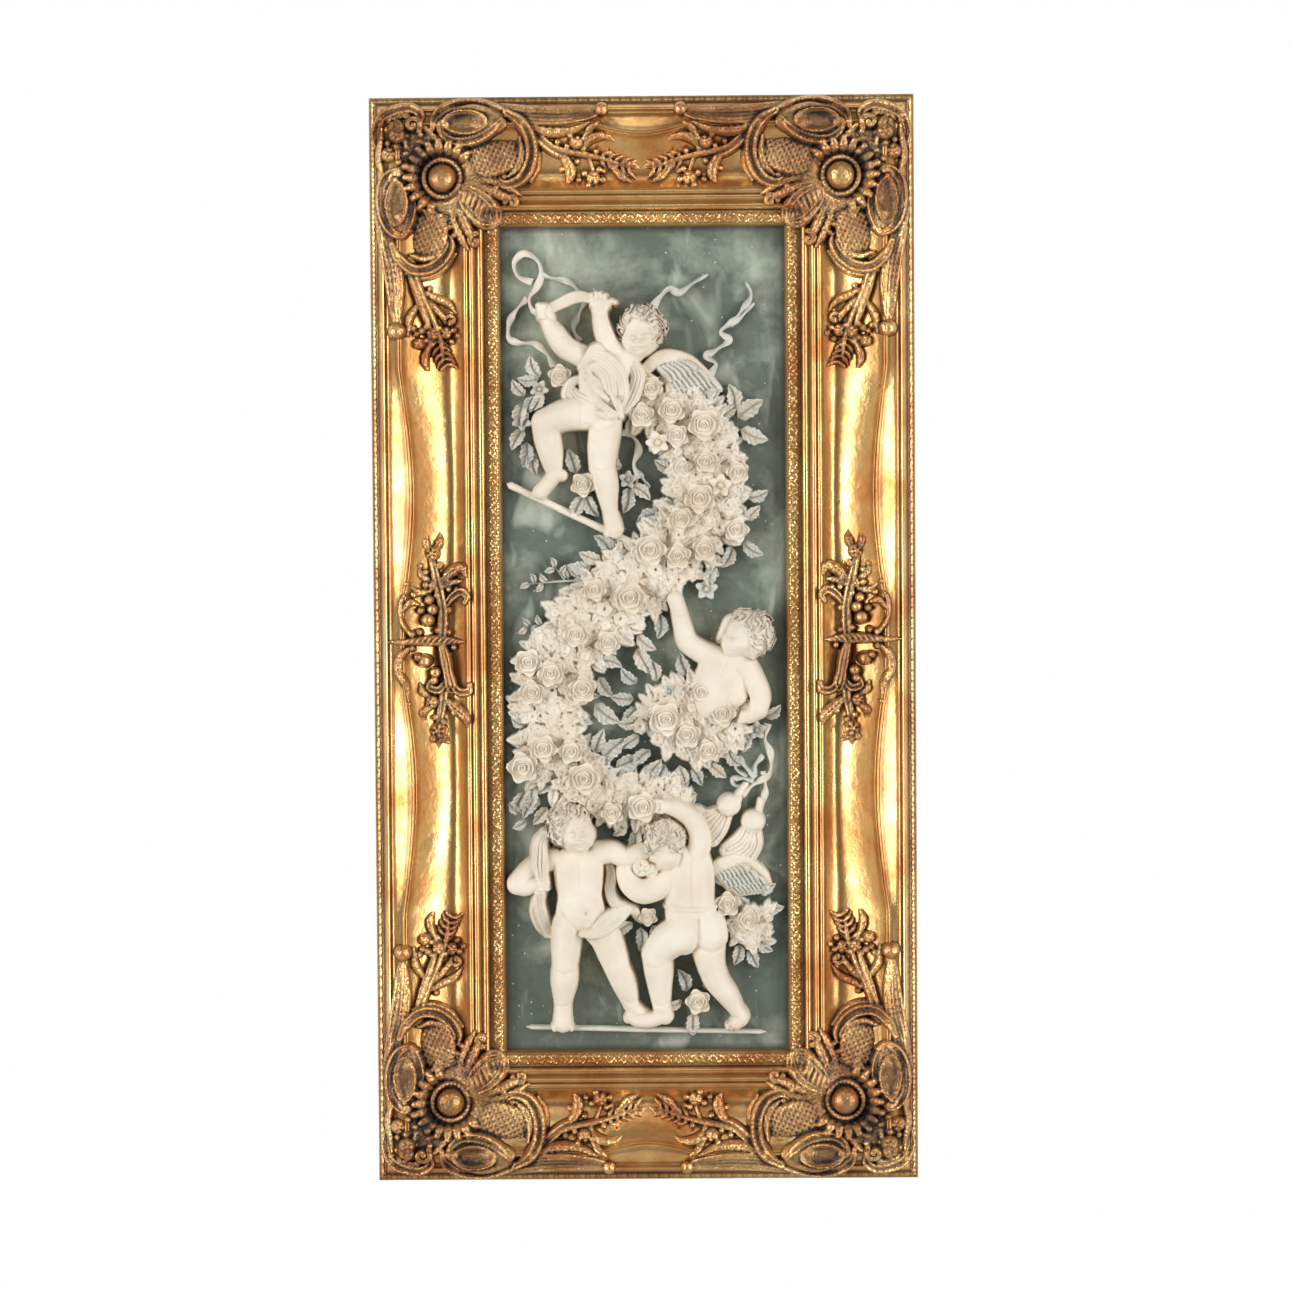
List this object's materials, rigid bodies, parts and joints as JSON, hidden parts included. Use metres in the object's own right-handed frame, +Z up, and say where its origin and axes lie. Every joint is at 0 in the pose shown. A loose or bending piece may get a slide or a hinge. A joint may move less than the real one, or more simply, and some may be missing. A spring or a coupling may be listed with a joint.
{
  "type": "framed relief panel",
  "caption": "Tall cast relief of winged children with a rose garland and ribbons, in a gilt swept rococo frame with raised corners and side centres, made to hang on a wall.",
  "frame": {"origin": "middle of the width of the top rail's flat back, 37 mm below the top edge, where the frame hangs on its wall", "axes": "+Z up along the height, +X to the right as seen from the front, +Y into the wall, so the relief faces -Y"},
  "size_m": [0.34, 0.0476, 0.68],
  "materials": {
    "gilt_wood": "aged gold leaf with a brown patina in the hollows",
    "gilt_composition": "aged gold leaf, rubbed bright on the high places",
    "cream_cast": "satin cream figures and flowers on a dark green-grey marbled ground"
  },
  "bodies": {
    "root": {"rail_top": "gilt_wood", "rail_bottom": "gilt_wood", "rail_left": "gilt_wood", "rail_right": "gilt_wood", "corner_casting_top_left": "gilt_composition", "corner_casting_top_right": "gilt_composition", "corner_casting_bottom_left": "gilt_composition", "corner_casting_bottom_right": "gilt_composition", "side_casting_left": "gilt_composition", "side_casting_right": "gilt_composition", "relief_panel": "cream_cast"}
  },
  "joints": []
}
